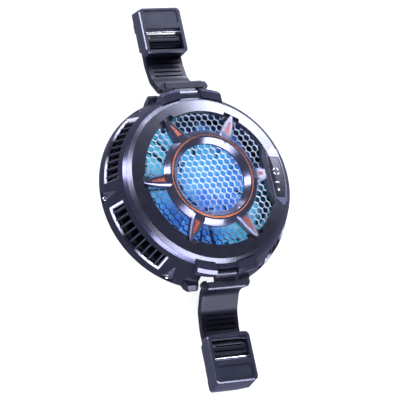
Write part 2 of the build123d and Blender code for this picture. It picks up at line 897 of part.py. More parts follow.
def star_spider():
    """Centre ring with a face groove and six spokes, each with a recess for its wedge."""
    ring = turned([
        (ring_foot_in_r, mesh_top), (ring_foot_out_r, mesh_top), (ring_foot_out_r, ring_foot_z),
        (ring_out_r, ring_foot_z), (ring_out_r, ring_edge_z), (ring_face_out_r, ring_z),
        (ring_face_in_r, ring_z), (ring_in_r, ring_edge_z), (ring_in_r, ring_foot_z),
        (ring_foot_in_r, ring_foot_z),
    ])
    keep_out = tube((ring_face_in_r + ring_face_out_r) / 2, 0, 0, over)
    arm = spoke() - inlay(inlay_end_r, seat_gap) - keep_out
    short = key_spoke() - inlay(inlay_end_key_r, seat_gap) - keep_out
    star = ring + short
    for angle in spoke_angles:
        star += Rot(0, 0, angle) * arm
    groove = tube(accent_out_r + seat_gap, accent_in_r - seat_gap, ring_z - accent_depth, over)
    return star - groove


def accent_ring():
    """Coloured double line: a thin ring with a groove along its middle."""
    low = ring_z - accent_depth
    ring = tube(accent_out_r, accent_in_r, low, ring_z + seat_gap / 2)
    middle = (accent_in_r + accent_out_r) / 2
    line = (accent_out_r - accent_in_r) / 8
    return ring - tube(middle + line, middle - line, low + accent_depth / 2, over)


def spoke_inlays():
    """Wedges in the five long spokes and the short one."""
    wedge = inlay(inlay_end_r, 0)
    wedges = [Rot(0, 0, angle) * wedge for angle in spoke_angles]
    return wedges + [inlay(inlay_end_key_r, 0)]


# Inside of the body

def base_plate():
    """Rear cover round the cold plate, with a groove for the pad."""
    plate = tube(base_r, plate_r + seat_gap, base_z, base_top)
    return plate - tube(pad_out_r + seat_gap, pad_in_r - seat_gap, 0, base_z + base_h / 2)


def cold_plate():
    """Disc that touches the phone, with the flange that the base plate holds."""
    return turned([
        (0, 0), (plate_r - foot_z / 2, 0), (plate_r, foot_z / 2), (plate_r, flange_z),
        (plate_flange_r, flange_z), (plate_flange_r, plate_top), (0, plate_top),
    ])


def contact_pad():
    """Soft ring round the cold plate, with a rounded lip."""
    mid = (pad_in_r + pad_out_r) / 2
    return turned([
        (pad_in_r, base_z + base_h / 2), (pad_in_r, base_z), (mid - (mid - pad_in_r) / 2, pad_set_back),
        (mid + (mid - pad_in_r) / 2, pad_set_back), (pad_out_r, base_z), (pad_out_r, base_z + base_h / 2),
    ])


def tec_module():
    """Two ceramic plates with the pellet field between them."""
    up = (Align.CENTER, Align.CENTER, Align.MIN)
    core_side = tec_side - 2 * tec_pellet_inset
    low = Pos(0, 0, plate_top) * Box(tec_side, tec_side, tec_skin, align=up)
    high = Pos(0, 0, tec_top - tec_skin) * Box(tec_side, tec_side, tec_skin, align=up)
    core = Pos(0, 0, plate_top) * Box(core_side, core_side, tec_h, align=up)
    return low + core + high


def insulation_frame():
    """Foam round the thermoelectric plate."""
    hole = block(-tec_side / 2 - seat_gap, tec_side / 2 + seat_gap,
                 -tec_side / 2 - seat_gap, tec_side / 2 + seat_gap, 0, over)
    return tube(plate_flange_r, 0, plate_top, tec_top) - hole


def heatsink():
    """Round base with radial fins that leave the motor's place free."""
    body = tube(sink_r, 0, tec_top, sink_top)
    fin = block(sink_fin_in_r, sink_fin_out_r, -sink_fin_thick / 2, sink_fin_thick / 2, sink_top, fin_top)
    for index in range(sink_fin_count):
        body += Rot(0, 0, 360 * index / sink_fin_count) * fin
    return body


def motor_base():
    """Flange and sleeve that carry the stator and the bush."""
    flange = tube(motor_base_r, bush_r + seat_gap, sink_top, motor_top)
    sleeve = tube(sleeve_r, bush_r + seat_gap, sink_top, sink_top + sleeve_h)
    return flange + sleeve


def bearing_bush():
    """Plain bearing in the sleeve."""
    low = sink_top + sleeve_h - bush_h
    return tube(bush_r, shaft_r + run_gap, low, low + bush_h)


def motor_board():
    """Round driver board on the motor's flange."""
    return tube(motor_board_r, sleeve_r + seat_gap, motor_top, motor_top + motor_board_h)


def stator_base():
    """Height at which the stator stands on the sleeve."""
    return motor_top + motor_board_h + stator_lift


def pole_places():
    """Angles of the stator's poles."""
    return [360 * index / stator_poles for index in range(stator_poles)]


def stator_core():
    """Laminated stack with a hub and T-shaped poles."""
    low = stator_base()
    core = tube(stator_hub_r, sleeve_r + seat_gap, low, low + stator_h)
    tee = block(stator_hub_r - pole_shoe, stator_r - pole_shoe / 2, -pole_width / 2, pole_width / 2,
                low, low + stator_h)
    shoe = tube(stator_r, stator_r - pole_shoe, low, low + stator_h) & block(
        0, over, -pole_shoe_width / 2, pole_shoe_width / 2, 0, over)
    for angle in pole_places():
        core += Rot(0, 0, angle) * (tee + shoe)
    return core


def stator_coils():
    """One winding on each pole."""
    low = stator_base()
    start = stator_hub_r + coil_end_gap
    end = stator_r - pole_shoe - coil_end_gap
    half = pole_width / 2 + seat_gap
    outer = block(start, end, -half - coil_wall, half + coil_wall,
                  low - coil_wall - seat_gap, low + stator_h + coil_wall + seat_gap)
    inner = block(0, over, -half, half, low - seat_gap, low + stator_h + seat_gap)
    coil = fillet(outer.edges().filter_by(Axis.X), coil_wall) - inner
    return [Rot(0, 0, angle) * coil for angle in pole_places()]


def rotor_shaft():
    """Steel shaft in the bush, up into the hub."""
    top = rotor_top - hub_top_h / 2
    return tube(shaft_r, 0, top - shaft_h, top)


def rotor_magnet():
    """Ring magnet round the stator."""
    low = rotor_z + seat_gap
    return tube(magnet_out_r, magnet_in_r, low, low + magnet_h)


def rotor_yoke():
    """Steel cup wall behind the magnet."""
    return tube(yoke_out_r, magnet_out_r, rotor_z, rotor_top - hub_top_h)


def blade():
    """One pitched blade along X, from the hub's skirt to the tip."""
    def section(radius, chord, pitch):
        flat = Rectangle(chord, blade_thick)
        return Pos(radius, 0, rotor_z + rotor_h / 2) * (Plane.YZ * (Rot(0, 0, pitch) * flat))
    root = section((yoke_out_r + hub_r) / 2, blade_root_chord, blade_root_pitch)
    tip = section(blade_tip_r, blade_tip_chord, blade_tip_pitch)
    return loft([root, tip], ruled=True)


def fan_rotor():
    """Hub cup with pitched blades all round."""
    cup = turned([
        (shaft_r, rotor_top - hub_top_h), (yoke_out_r, rotor_top - hub_top_h), (yoke_out_r, rotor_z),
        (hub_r, rotor_z), (hub_r, rotor_top - hub_edge), (hub_r - hub_edge, rotor_top),
        (0, rotor_top), (0, rotor_top - hub_top_h / 2), (shaft_r, rotor_top - hub_top_h / 2),
    ])
    keep = tube(over, yoke_out_r, rotor_z + blade_edge_gap, rotor_top - blade_edge_gap)
    one = blade() & keep
    for index in range(blade_count):
        cup += Rot(0, 0, 360 * index / blade_count) * one
    return cup


def usb_socket():
    """Round-ended metal shell with its tongue, open outward along X."""
    mouth_x = wall_r(inlet_z) - inlet_set_back
    back_x = mouth_x - inlet_depth
    shell = inlet_outline(0, back_x, mouth_x)
    shell -= inlet_outline(-inlet_wall, back_x + inlet_wall, over)
    tongue = block(back_x, mouth_x - inlet_tongue_back, -inlet_tongue_width / 2, inlet_tongue_width / 2,
                   inlet_z - inlet_tongue_h / 2, inlet_z + inlet_tongue_h / 2)
    return shell + tongue


# Arm toward +Y; the other arm is its mirror image

def along_x(radius, half, y, z):
    """Cylinder along X at a place in the YZ plane."""
    return Pos(0, y, z) * Rot(0, 90, 0) * Cylinder(radius, 2 * half)


def lug():
    """Two ears that follow the body's curve, joined by a bridge above the knuckle."""
    ears = turned([
        (ear_root_r - wall, ear_foot_z), (ear_foot_r, ear_foot_z), (ear_r, ear_waist_z),
        (ear_r, ear_top_z - ear_bevel), (ear_r - ear_bevel, ear_top_z), (ear_root_r, ear_top_z),
    ], 0, 180)
    sides = pair_x(block(ear_in_x, ear_out_x, 0, over, 0, over))
    bridge = turned([
        (ear_root_r - wall, bridge_z), (bridge_r, bridge_z), (bridge_r, band_z),
        (ear_root_r - wall, band_z),
    ], 0, 180)
    middle = block(-ear_in_x, ear_in_x, 0, over, 0, over)
    body = (ears & sides) + (bridge & middle) - body_outside()
    return body - along_x(pin_r, pin_half, pin_y, pin_z)


def knuckle_room():
    """Room in the wall for the knuckle over its whole swing."""
    room_r = knuckle_r + swing_gap
    low = block(-ear_in_x, ear_in_x, pin_y - room_r, over, nook_top_z - seat_gap, pin_z)
    return low + along_x(room_r, ear_in_x, pin_y, pin_z)


def hinge_pin():
    """Pin held in the ears."""
    return along_x(pin_r, pin_half, pin_y, pin_z)


def link():
    """Knuckle on the pin, with the faceted crossbar and its two side arms."""
    knuckle = along_x(knuckle_r, knuckle_half, pin_y, pin_z)
    web = profile_x([
        (pin_y, pin_z - knuckle_r), (bar_in_y, bar_low_z + bar_facet),
        (bar_in_y + bar_facet, bar_z - side_drop), (pin_y + knuckle_r, bar_z), (pin_y, pin_z + knuckle_r),
    ], knuckle_half)
    bar = profile_x([
        (bar_in_y, bar_low_z), (bar_out_y - bar_facet, bar_low_z), (bar_out_y, bar_low_z + bar_facet),
        (bar_out_y, bar_z - bar_facet / 2), (bar_out_y - bar_facet / 2, bar_z), (bar_in_y, bar_z),
    ], bar_half)
    side = prism([
        (bar_half, side_in_y), (side_half - side_bevel, side_in_y), (side_half, side_in_y + side_bevel),
        (side_half, bar_out_y - 2 * side_bevel), (side_half - side_bevel, bar_out_y - side_drop),
        (bar_half, bar_out_y - side_drop),
    ], bar_low_z + side_drop, bar_z - side_drop)
    body = knuckle + web + bar + pair_x(side)
    return body - along_x(pin_r + run_gap, over, pin_y, pin_z)


def strap_layer(shift, thick, half):
    """Band of rectangular section along the strap's middle line, shifted across it."""
    line = FilletPolyline(
        (strap_start_y, bar_low_z), (strap_start_y, strap_neck_z),
        (strap_bend_y, strap_bend_z), (strap_level_y, strap_level_z),
        (strap_end_y, strap_level_z), radius=strap_radii)
    path = (Plane.YZ * line).wires()[0]
    across = Plane(path @ 0, x_dir=(1, 0, 0), z_dir=path % 0)
    return sweep(across * Pos(0, shift) * Rectangle(2 * half, thick), path=path)


def strap():
    """Soft strap, hooked round the crossbar, with cross grooves on its outer face."""
    body = strap_layer(0, strap_thick, strap_half)
    skin = strap_layer(groove_side * (strap_thick - groove_depth) / 2, groove_depth, groove_half)
    for index in range(groove_count):
        start = groove_y + index * groove_pitch
        slot = block(-groove_half, groove_half, start, start + groove_width, -over, over)
        body -= skin & slot
    return body


def buckle():
    """Block with a rounded frame, a window, a sunk tray, side cheeks and the hook."""
    side = [
        (buckle_in_y, buckle_low_z), (buckle_in_y, buckle_z), (buckle_out_y, buckle_z),
        (hook_out_y, hook_neck_z), (hook_out_y - hook_drop, hook_lip_z),
        (hook_out_y - hook_thick, hook_tip_z), (hook_lip_y, hook_tip_z), (hook_lip_y, hook_lip_z),
        (hook_out_y - hook_drop - hook_thick, hook_lip_z),
        (hook_out_y - hook_thick - hook_drop / 2, panel_low_z),
        (panel_in_y, panel_low_z), (panel_in_y, buckle_low_z),
    ]
    front = [
        (-buckle_half, over), (-buckle_half, hook_neck_z), (-hook_half, hook_lip_z), (-hook_half, -over),
        (hook_half, -over), (hook_half, hook_lip_z), (buckle_half, hook_neck_z), (buckle_half, over),
    ]
    long = hook_out_y - buckle_in_y + 2 * buckle_corner
    plan = Pos(0, buckle_in_y + long / 2) * RectangleRounded(2 * buckle_half, long, buckle_corner)
    body = profile_x(side, buckle_half) & profile_y(front, buckle_in_y, buckle_in_y + over) & upright(plan, -over, over)
    corners = [edge for edge in body.edges() if edge.center().Y > buckle_out_y
               and hook_neck_z < edge.center().Z < buckle_z and abs(edge.center().X) > window_half]
    body = fillet(corners, buckle_corner)
    top = body.faces().sort_by(Axis.Z)[-1]
    body = chamfer(top.outer_wire().edges(), buckle_rim)
    cheek = profile_x([
        (buckle_in_y + buckle_corner, buckle_low_z), (buckle_in_y + buckle_corner + cheek_chamfer, cheek_z),
        (panel_in_y, cheek_z), (panel_in_y, buckle_low_z),
    ], buckle_half) & pair_x(block(strap_half + slide_gap, over, buckle_in_y, buckle_out_y, -over, over))
    body += cheek
    body -= block(-window_half, window_half, window_in_y, window_out_y, 0, over)
    tray_long = tray_out_y - tray_in_y
    tray = Pos(0, tray_in_y + tray_long / 2) * RectangleRounded(2 * window_half, tray_long, tray_corner)
    body -= upright(tray, buckle_z - tray_depth, over)
    for y, z in wire_places():
        body -= along_x(bar_wire_r + seat_gap, wire_half + seat_gap, y, z)
    return body


def wire_places():
    """Where the two bars cross the window."""
    return [(inner_wire_y, inner_wire_z), (outer_wire_y, outer_wire_z)]


def buckle_bars():
    """Steel bars across the window, held in the block's sides."""
    return [along_x(bar_wire_r, wire_half, y, z) for y, z in wire_places()]


def strap_loop():
    """Fold of the strap in the window: a crowned body with two cross grooves."""
    rise = fold_top_z - fold_low_z
    middle = (fold_in_y + fold_out_y) / 2
    base = Polyline((fold_in_y, fold_low_z + rise / 2), (fold_in_y, fold_low_z),
                    (fold_out_y, fold_low_z), (fold_out_y, fold_low_z + rise / 2))
    crown = ThreePointArc((fold_out_y, fold_low_z + rise / 2), (middle, fold_top_z),
                          (fold_in_y, fold_low_z + rise / 2))
    body = extrude(Plane.YZ * make_face(base + crown), fold_half, both=True)
    for side in (-1, 1):
        y = middle + side * (fold_out_y - fold_in_y) / 6
        body -= block(-fold_half * groove_share, fold_half * groove_share, y - fold_groove_w / 2,
                      y + fold_groove_w / 2, fold_top_z - 2 * fold_groove_d, over)
    return body


def hook_pad():
    """Soft pad on the inner face of the hook."""
    top_y = hook_out_y - hook_thick - hook_drop / 2
    low_y = hook_out_y - hook_drop - hook_thick
    return profile_x([
        (top_y, panel_low_z), (low_y, hook_lip_z), (low_y - hook_pad_thick, hook_lip_z),
        (top_y - hook_pad_thick, panel_low_z),
    ], hook_pad_half)


def build():
    """Makes every sub-part and writes it."""
    os.makedirs("parts", exist_ok=True)
    room = knuckle_room()
    nook = nook_cut(-over)
    nooks = nook + mirror(nook, Plane.XZ)
    save("rear_housing", rear_housing() - room - mirror(room, Plane.XZ))
    save("base_plate", base_plate() - nooks)
    save("vent_louvres", *vent_louvres())
    save("housing_screws", *housing_screws())
    save("trim_band", trim_band() - room - mirror(room, Plane.XZ))
    for make in (front_bezel, button_panel, hex_grille, star_spider, accent_ring, tact_switch,
                 switch_plunger, control_board, led_board, light_guide, usb_socket, cold_plate,
                 contact_pad, tec_module, insulation_frame, heatsink, motor_base, bearing_bush,
                 motor_board, stator_core, rotor_shaft, rotor_magnet, rotor_yoke, fan_rotor):
        save(make.__name__, make())
    marks = key_symbol()
    key = control_key()
    for mark in marks:
        key -= mark
    save("control_key", key)
    save("key_symbol", *marks)
    save("spoke_inlays", *spoke_inlays())
    save("leds", *leds())
    save("stator_coils", *stator_coils())
    arm = {
        "lug": [lug()], "hinge_pin": [hinge_pin()], "link": [link()], "strap": [strap()],
        "buckle": [buckle()], "buckle_bars": buckle_bars(), "strap_loop": [strap_loop()],
        "hook_pad": [hook_pad()],
    }
    for name, pieces in arm.items():
        save("top_" + name, *pieces)
        save("bottom_" + name, *[mirror(piece, Plane.XZ) for piece in pieces])


build()
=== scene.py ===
import json
from math import cos, pi, radians, sin, sqrt

import bmesh
import bpy
import numpy as np
from mathutils import Matrix, Vector

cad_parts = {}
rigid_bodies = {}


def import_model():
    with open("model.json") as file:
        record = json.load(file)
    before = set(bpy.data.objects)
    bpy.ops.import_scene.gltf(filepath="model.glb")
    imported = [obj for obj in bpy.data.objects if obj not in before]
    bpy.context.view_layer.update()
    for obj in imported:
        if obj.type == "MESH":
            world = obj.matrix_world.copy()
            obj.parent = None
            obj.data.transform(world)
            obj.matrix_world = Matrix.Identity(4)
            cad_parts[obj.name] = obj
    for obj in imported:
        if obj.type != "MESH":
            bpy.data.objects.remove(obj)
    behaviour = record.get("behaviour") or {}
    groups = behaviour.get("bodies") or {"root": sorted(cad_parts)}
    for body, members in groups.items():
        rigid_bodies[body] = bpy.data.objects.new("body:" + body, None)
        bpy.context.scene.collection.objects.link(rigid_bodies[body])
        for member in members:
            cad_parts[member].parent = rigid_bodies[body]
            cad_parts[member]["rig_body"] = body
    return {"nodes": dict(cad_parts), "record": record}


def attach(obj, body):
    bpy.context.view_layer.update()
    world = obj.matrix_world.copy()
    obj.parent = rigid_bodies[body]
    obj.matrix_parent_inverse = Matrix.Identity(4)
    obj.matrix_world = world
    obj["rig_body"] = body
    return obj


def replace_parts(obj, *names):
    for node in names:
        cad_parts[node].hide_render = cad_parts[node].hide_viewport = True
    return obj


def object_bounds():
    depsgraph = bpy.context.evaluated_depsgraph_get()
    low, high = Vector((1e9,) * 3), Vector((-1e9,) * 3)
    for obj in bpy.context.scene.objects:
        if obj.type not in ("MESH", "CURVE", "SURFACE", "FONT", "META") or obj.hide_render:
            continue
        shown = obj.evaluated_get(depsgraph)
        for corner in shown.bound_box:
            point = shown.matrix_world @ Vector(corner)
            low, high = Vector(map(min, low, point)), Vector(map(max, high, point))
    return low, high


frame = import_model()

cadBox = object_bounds()
mm = 0.001
nodes = frame["nodes"]
print("frame loaded:", len(nodes), "nodes")


# Shader expressions: a socket with Python operators, and one maker for every other node

# One output socket of a node tree.
class Sock:
    def __init__(self, tree, out):
        self.tree, self.out = tree, out

    def math(self, kind, other=None, third=None, flip=False):
        values = [self, other] if not flip else [other, self]
        inputs = {i: v for i, v in enumerate(values + [third]) if v is not None}
        return self.tree.node("ShaderNodeMath", {"operation": kind}, inputs)

    def __add__(self, o):
        return self.math("ADD", o)

    def __radd__(self, o):
        return self.math("ADD", o, flip=True)

    def __sub__(self, o):
        return self.math("SUBTRACT", o)

    def __rsub__(self, o):
        return self.math("SUBTRACT", o, flip=True)

    def __mul__(self, o):
        return self.math("MULTIPLY", o)

    def __rmul__(self, o):
        return self.math("MULTIPLY", o, flip=True)

    def __truediv__(self, o):
        return self.math("DIVIDE", o)

    def __lt__(self, o):
        return self.math("LESS_THAN", o)

    def sin(self):
        return self.math("SINE")

    def abs(self):
        return self.math("ABSOLUTE")

    def sqrt(self):
        return self.math("SQRT")

    def fract(self):
        return self.math("FRACT")

    def atan2(self, o):
        return self.math("ARCTAN2", o)

    def max(self, o):
        return self.math("MAXIMUM", o)

    def min(self, o):
        return self.math("MINIMUM", o)

    # 0 below low, 1 above high, and straight between.
    def band(self, low, high):
        return self.tree.node("ShaderNodeMapRange", {"clamp": True},
                              {"Value": self, "From Min": low, "From Max": high})


# Makes the nodes of one material.
class Tree:
    def __init__(self, name):
        self.mat = bpy.data.materials.new(name)
        self.mat.use_nodes = True
        self.nodes, self.links = self.mat.node_tree.nodes, self.mat.node_tree.links
        self.nodes.clear()

    def node(self, kind, settings=None, inputs=None, out=0):
        made = self.nodes.new(kind)
        for key, value in (settings or {}).items():
            setattr(made, key, value)
        for key, value in (inputs or {}).items():
            if isinstance(value, Sock):
                self.links.new(value.out, made.inputs[key])
            else:
                made.inputs[key].default_value = value
        return Sock(self, made.outputs[out])

    def place(self, out="Object"):
        return self.node("ShaderNodeTexCoord", out=out)

    def xyz(self):
        split = self.node("ShaderNodeSeparateXYZ", None, {0: self.place()})
        return [Sock(self, split.out.node.outputs[i]) for i in range(3)]

    # X, Y, the height, the distance from the fan's axis and the angle round it.
    def polar(self):
        x, y, z = self.xyz()
        return x, y, z, (x * x + y * y).sqrt(), y.atan2(x)

    def noise(self, scale, detail=3.0, rough=0.55, coords=None):
        return self.node("ShaderNodeTexNoise", None, {
            "Vector": coords or self.place(), "Scale": scale, "Detail": detail, "Roughness": rough})

    # Colour a where fac is 0 and b where it is 1.
    def mix(self, fac, a, b):
        asColour = [c if isinstance(c, Sock) else (*c, 1) for c in (a, b)]
        return self.node("ShaderNodeMix", {"data_type": "RGBA"},
                         {0: fac, 6: asColour[0], 7: asColour[1]}, out=2)

    # Colour that a noise moves from base to light, where the noise lies between low and high.
    def drift(self, base, light, scale, detail, low, high, share=1.0):
        return self.mix(self.noise(scale, detail).band(low, high) * share, base, light)

    # Middle value, moved by a noise through the given spread.
    def uneven(self, middle, scale, spread, detail=4):
        return middle + (self.noise(scale, detail) - 0.5) * spread

    def bump(self, height, distance, strength=1.0):
        return self.node("ShaderNodeBump", None,
                         {"Height": height, "Distance": distance, "Strength": strength})

    def finish(self, shader):
        surface = self.nodes.new("ShaderNodeOutputMaterial").inputs["Surface"]
        self.links.new(shader.out, surface)
        return self.mat

    def glossy(self, inputs):
        return self.finish(self.node("ShaderNodeBsdfPrincipled", None, inputs))


# Finishes. Sizes of patterns are per metre, because the object is measured in metres.

plastic = {
    "driftScale": 90, "driftLow": 0.35, "driftHigh": 0.7, "driftShare": 0.5, "glossScale": 340,
    "glossSpread": 0.14, "grainScale": 2600, "grainDepth": 0.02 * mm, "grainStrength": 0.35,
    "coatRough": 0.12, "specular": 0.55, "tint": (0.82, 0.84, 1.0, 1),
}


# Slow drift of colour that all plastics share.
def plasticColour(t, base, light, share=plastic["driftShare"]):
    return t.drift(base, light, plastic["driftScale"], 2, plastic["driftLow"], plastic["driftHigh"], share)


# Fine grain that all plastics share.
def plasticGrain(t):
    return t.bump(t.noise(plastic["grainScale"], 2), plastic["grainDepth"], plastic["grainStrength"])


# Moulded or painted surface: fine grain, slow colour drift and a thin clear coat.
def moulded(name, base, light, rough=0.34, coat=0.15, metal=0.0, ior=1.5):
    t = Tree(name)
    return t.glossy({
        "Base Color": plasticColour(t, base, light), "Metallic": metal, "IOR": ior,
        "Roughness": t.uneven(rough, plastic["glossScale"], plastic["glossSpread"]),
        "Coat Weight": coat, "Coat Roughness": plastic["coatRough"],
        "Specular IOR Level": plastic["specular"], "Specular Tint": plastic["tint"],
        "Normal": plasticGrain(t)})


metals = {"toolMarks": 26000, "markDepth": 0.008 * mm, "scratches": (300, 4200, 4200),
          "scratchDepth": 0.006 * mm}


# Metal with fine circular tool marks: the sine of the radius times the marks' pitch value.
def turnedMetal(name, base, light, rough=0.22):
    t = Tree(name)
    x, y, z, radius, angle = t.polar()
    marks = (radius * metals["toolMarks"]).sin() * 0.5 + t.noise(420, 3)
    return t.glossy({
        "Base Color": t.drift(base, light, 150, 3, 0.3, 0.7), "Metallic": 1.0,
        "Roughness": t.uneven(rough, 500, 0.12), "Normal": t.bump(marks, metals["markDepth"], 0.4)})


# Bright metal with short scratches: a noise stretched along X.
def brushedMetal(name, base, light, rough=0.25):
    t = Tree(name)
    long = t.node("ShaderNodeMapping", None, {"Vector": t.place(), "Scale": metals["scratches"]})
    return t.glossy({
        "Base Color": t.drift(base, light, 260, 4, 0.3, 0.7), "Metallic": 1.0,
        "Roughness": rough + (t.noise(1, 3, coords=long) - 0.5) * 0.2,
        "Normal": t.bump(t.noise(1, 2, coords=long), metals["scratchDepth"], 0.3)})


rubber = {"patchScale": 210, "grainScale": 3800, "grainDepth": 0.03 * mm, "specular": 0.32}


# Rubber with a fine matt grain; rubbed patches are lighter and a little smoother.
def softRubber(name, base, light, rough=0.5):
    t = Tree(name)
    rubbed = t.noise(rubber["patchScale"], 5).band(0.5, 0.75)
    return t.glossy({
        "Base Color": t.mix(rubbed * 0.6, base, light), "Roughness": rough - rubbed * 0.12,
        "Specular IOR Level": rubber["specular"], "Specular Tint": plastic["tint"],
        "Coat Weight": 0.08, "Coat Roughness": 0.35,
        "Normal": t.bump(t.noise(rubber["grainScale"], 2), rubber["grainDepth"], 0.5)})


accent = {
    "orange": (0.78, 0.20, 0.05), "paleOrange": (0.90, 0.36, 0.16), "ground": (0.012, 0.012, 0.022),
    "rose": (0.26, 0.085, 0.060), "lineRadii": (12.88 * mm, 13.20 * mm), "lineHalf": 0.075 * mm,
    "fadeTurns": 3.0, "fadeStart": 0.6, "paintedLightFrom": 10 * mm, "paintedLightTo": -6 * mm, "lineGlow": 0.10,
    "hatchPitch": 0.62 * mm, "hatchShare": 0.56, "hatchSlant": 3.0 * mm,
    "hatchRed": (0.45, 0.060, 0.022), "hatchPale": (0.66, 0.15, 0.07), "hatchGlow": 0.06,
}


# Two thin lacquer lines at fixed radii on a dark ground, with a faint painted glow. The inner one
# fades with the sine of three times the angle, and both turn from rose to orange toward the lower
# left: painted light, the duller rose on the upper right standing for how the light falls there.
def doubleLine(name):
    t = Tree(name)
    x, y, z, radius, angle = t.polar()
    inner, outer = [((radius - r).abs() < accent["lineHalf"]) for r in accent["lineRadii"]]
    fade = (angle * accent["fadeTurns"] + accent["fadeStart"]).sin().band(-0.5, 0.3)
    low = (x * 0.45 + y * 0.90).band(accent["paintedLightFrom"], accent["paintedLightTo"])
    lines = (inner * fade).max(outer)
    vivid = t.drift(accent["orange"], accent["paleOrange"], 700, 4, 0.4, 0.7)
    # Painted light: duller rose on the upper right, vivid orange toward the lower left.
    paint = t.mix(low, accent["rose"], vivid)
    return t.glossy({
        "Base Color": t.mix(lines, accent["ground"], paint), "Roughness": 0.32 + t.noise(900, 2) * 0.1,
        # Painted glow: the lines give off a faint light of their own colour.
        "Emission Color": t.mix(lines, (0, 0, 0), paint), "Emission Strength": accent["lineGlow"],
        "Coat Weight": 0.4, "Coat Roughness": 0.12})


# Slanted hatching: bands of constant radius plus a share of the angle, on a dark ground. The
# stripes have a faint painted glow.
def hatching(name):
    t = Tree(name)
    x, y, z, radius, angle = t.polar()
    slant = radius + angle * accent["hatchSlant"]
    stripe = (slant / accent["hatchPitch"]).fract() < accent["hatchShare"]
    paint = t.drift(accent["hatchRed"], accent["hatchPale"], 500, 3, 0.35, 0.7)
    return t.glossy({
        "Base Color": t.mix(stripe, accent["ground"], paint), "Roughness": 0.34 + t.noise(900, 2) * 0.1,
        # Painted glow: the stripes give off a faint light of their own colour.
        "Emission Color": t.mix(stripe, (0, 0, 0), paint), "Emission Strength": accent["hatchGlow"],
        "Coat Weight": 0.3, "Coat Roughness": 0.2})


glow = {
    "blue": (0.030, 0.13, 0.56), "cyan": (0.06, 0.38, 0.56), "pale": (0.20, 0.50, 0.80),
    "shadeColour": (0.003, 0.008, 0.030), "slowScale": 60, "patchScale": 80, "paleScale": 260,
    "lobeTurns": 2.0, "lobeStart": 2.6, "lobeWeight": 0.5, "noiseWeight": 1.1, "heightWeight": 0.34,
    "insideFrom": 12 * mm, "insideTo": 14 * mm, "rimFrom": 15.8 * mm, "rimTo": 19 * mm,
}


# Painted blue light on the fan and the sink, which glow though they are no lamps. Outside the ring
# two lobes round the axis, inside it the height, and a slow noise choose between blue and cyan.
# Painted shade keeps patches, the outer rim on the key side and faces that don't look up dark.
def fanGlow(name, strength):
    t = Tree(name)
    x, y, z, radius, angle = t.polar()
    lobes = (angle * glow["lobeTurns"] + glow["lobeStart"]).sin()
    inside = 1.0 - radius.band(glow["insideFrom"], glow["insideTo"])
    height = ((y * 0.9 - x * 0.3) / glow["insideFrom"] - 0.35) * inside * glow["heightWeight"]
    lobes = lobes * (glow["lobeWeight"] - inside * glow["lobeWeight"])
    tone = (lobes + t.noise(glow["slowScale"], 2) * glow["noiseWeight"] + height).band(0.2, 1.0)
    hue = t.mix(tone, glow["blue"], glow["cyan"])
    hue = t.mix(t.noise(glow["paleScale"], 3).band(0.45, 0.8) * 0.6, hue, glow["pale"])
    shadedRim = ((x * 0.82 + y * 0.57) / radius).band(-0.05, 0.4) * radius.band(glow["rimFrom"], glow["rimTo"])
    # Painted shade: noise patches, the key side's outer rim and faces that don't look up take the dark
    # colour.
    paintedShadePatches = t.noise(glow["patchScale"], 2).band(0.29, 0.37)
    split = t.node("ShaderNodeSeparateXYZ", None, {0: t.node("ShaderNodeNewGeometry", out="Normal")})
    litFacingUp = Sock(t, split.out.node.outputs[2]).band(0.15, 0.6)
    colour = t.mix(paintedShadePatches * (1.0 - shadedRim * 0.95) * litFacingUp, glow["shadeColour"], hue)
    return t.glossy({
        "Base Color": t.mix(0.75, colour, glow["shadeColour"]), "Roughness": 0.4 + t.noise(500, 2) * 0.1,
        "Emission Color": colour, "Emission Strength": strength})


plating = {
    "pale": (0.42, 0.43, 0.56), "spokeFrom": 14.6 * mm, "spokeTo": 16 * mm, "litSideFrom": 4 * mm,
    "litSideTo": 15 * mm, "lowFrom": -8 * mm, "lowTo": -12 * mm, "metalLoss": 0.6, "lowRough": 0.28,
}


# Plating of the centre ring. The spokes beyond the ring's edge turn pale toward the key side, a
# painted highlight, and the ones below lose their shine.
def platedRing(name, base, light, rough=0.20, metal=0.75, coat=0.15):
    t = Tree(name)
    x, y, z, radius, angle = t.polar()
    spoke = radius.band(plating["spokeFrom"], plating["spokeTo"])
    paintedLitSide = (x + y * 0.1).band(plating["litSideFrom"], plating["litSideTo"]) * spoke
    lower = y.band(plating["lowFrom"], plating["lowTo"]) * spoke
    gloss = t.uneven(rough, plastic["glossScale"], plastic["glossSpread"])
    return t.glossy({
        # Painted highlight: the spokes toward the key side are pale.
        "Base Color": t.mix(paintedLitSide, plasticColour(t, base, light), plating["pale"]),
        "Metallic": metal - paintedLitSide * plating["metalLoss"], "Roughness": gloss + lower * plating["lowRough"],
        "Coat Weight": coat - lower * coat, "Coat Roughness": plastic["coatRough"],
        "Specular Tint": plastic["tint"], "Normal": plasticGrain(t)})


wall = {
    "windowAngles": (33, 150), "windowHalf": 22, "windowTop": 10.9 * mm, "sillHeight": 5.1 * mm,
    "sillRadius": 30.3 * mm, "lean": 2.8 / 7.6, "footLow": 4.5 * mm, "footHigh": 5.2 * mm,
    "footInner": 29.45 * mm, "footOuter": 30.15 * mm, "sideWide": 0.34 * mm, "blend": 0.1 * mm,
    "brightAngle": 168, "brightTurns": 10, "scoopAngles": (60, 120, 180), "scoopHalf": 6,
    "lip": (0.62, 0.63, 0.76), "lipGlow": 0.32, "scoop": (0.12, 0.12, 0.18),
}


# 1 from low to high, with a soft edge at each end.
def between(value, low, high, blend=wall["blend"]):
    return value.band(low, low + blend) * (1.0 - value.band(high, high + blend))
